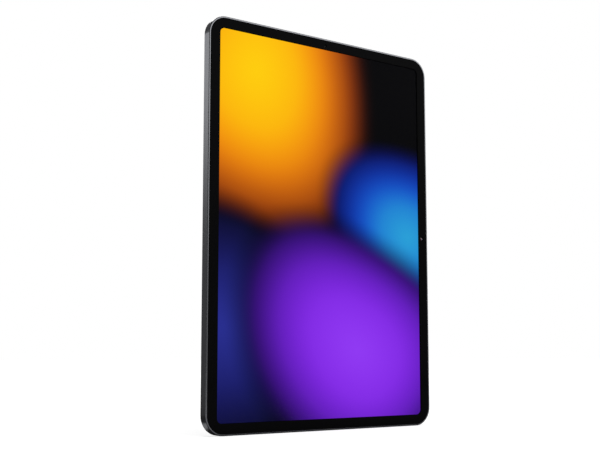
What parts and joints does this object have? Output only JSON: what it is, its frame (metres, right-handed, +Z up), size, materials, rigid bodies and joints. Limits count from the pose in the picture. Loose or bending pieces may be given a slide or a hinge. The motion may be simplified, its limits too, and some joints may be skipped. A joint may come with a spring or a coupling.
{
  "type": "tablet computer",
  "caption": "Thin flat-sided metal tablet computer with a black-bordered glass screen, side and top buttons, speaker grilles, a USB port and a raised rear camera.",
  "frame": {"origin": "middle of the bottom edge, halfway through the thickness of the body, where the tablet stands upright", "axes": "+Z up the long side towards the power button, +X across the screen towards the front camera, +Y out of the back; the screen faces -Y"},
  "size_m": [0.1737, 0.0074, 0.2515],
  "materials": {
    "housing_metal": "bead-blasted and anodised in dark grey, satin",
    "cover_glass": "polished, black border printed on the inside",
    "screen_picture": "lit picture, a plain blurred gradient of amber, blue and violet on black",
    "black_adhesive": "matt",
    "polished_ring": "turned and polished",
    "camera_glass": "polished",
    "steel": "plain",
    "backlight_tray": "light guide and films in a foil-backed tray",
    "magnet": "nickel plated",
    "gold_contact": "gold plated",
    "copper": "enamelled wire",
    "black_plastic": "moulded",
    "window_plastic": "smooth, tinted to match the metal",
    "speaker_mesh": "fine woven mesh, blackened",
    "board": "solder mask",
    "flex": "polyimide film",
    "chip": "moulded",
    "graphite": "graphite film",
    "pouch": "black film over a foil pouch",
    "white_adhesive": "stretch-release film"
  },
  "bodies": {
    "tablet": {"rear_housing": "housing_metal", "cover_glass": "cover_glass", "display_adhesive": "black_adhesive", "display_panel": "screen_picture", "backlight": "backlight_tray", "display_driver_board": "board", "display_flex": "flex", "power_switch": "steel", "power_switch_bracket": "steel", "volume_switches": "steel", "volume_switch_bracket": "steel", "button_flex": "flex", "camera_ring": "polished_ring", "camera_window": "camera_glass", "rear_lens": "camera_glass", "rear_camera": "chip", "rear_camera_flex": "flex", "front_camera": "chip", "front_camera_bracket": "steel", "front_camera_flex": "flex", "light_sensor": "chip", "top_microphone": "gold_contact", "rear_microphone": "gold_contact", "main_board": "board", "processor": "chip", "storage_chips": "chip", "power_chip": "chip", "radio_chip": "chip", "shield_cans": "steel", "graphite_sheet": "graphite", "board_connectors": "black_plastic", "connector_cover": "steel", "battery_left": "pouch", "battery_right": "pouch", "battery_board": "board", "battery_adhesive": "white_adhesive", "usb_shell": "steel", "usb_tongue": "black_plastic", "usb_board": "board", "usb_flex": "flex", "speaker_top_left": "black_plastic", "speaker_top_right": "black_plastic", "speaker_bottom_left": "black_plastic", "speaker_bottom_right": "black_plastic", "speaker_meshes": "speaker_mesh", "antennas": "gold_contact", "antenna_cables": "black_plastic", "stylus_window": "window_plastic", "stylus_coil": "copper", "stylus_magnets": "magnet", "cover_magnets": "magnet", "dock_contacts": "gold_contact", "dock_contact_carrier": "black_plastic", "board_screws": "steel", "speaker_screws": "steel"},
    "power_key": {"power_button": "housing_metal"},
    "volume_up_key": {"volume_up_button": "housing_metal"},
    "volume_down_key": {"volume_down_button": "housing_metal"}
  },
  "joints": [
    {"name": "power_press", "type": "slide", "parent": "tablet", "child": "power_key", "axis": [0, 0, -1], "range_m": [0, 0.00025], "stiffness_N_per_m": 4000},
    {"name": "volume_up_press", "type": "slide", "parent": "tablet", "child": "volume_up_key", "axis": [-1, 0, 0], "range_m": [0, 0.00025], "stiffness_N_per_m": 4000},
    {"name": "volume_down_press", "type": "slide", "parent": "tablet", "child": "volume_down_key", "axis": [-1, 0, 0], "range_m": [0, 0.00025], "stiffness_N_per_m": 4000}
  ]
}
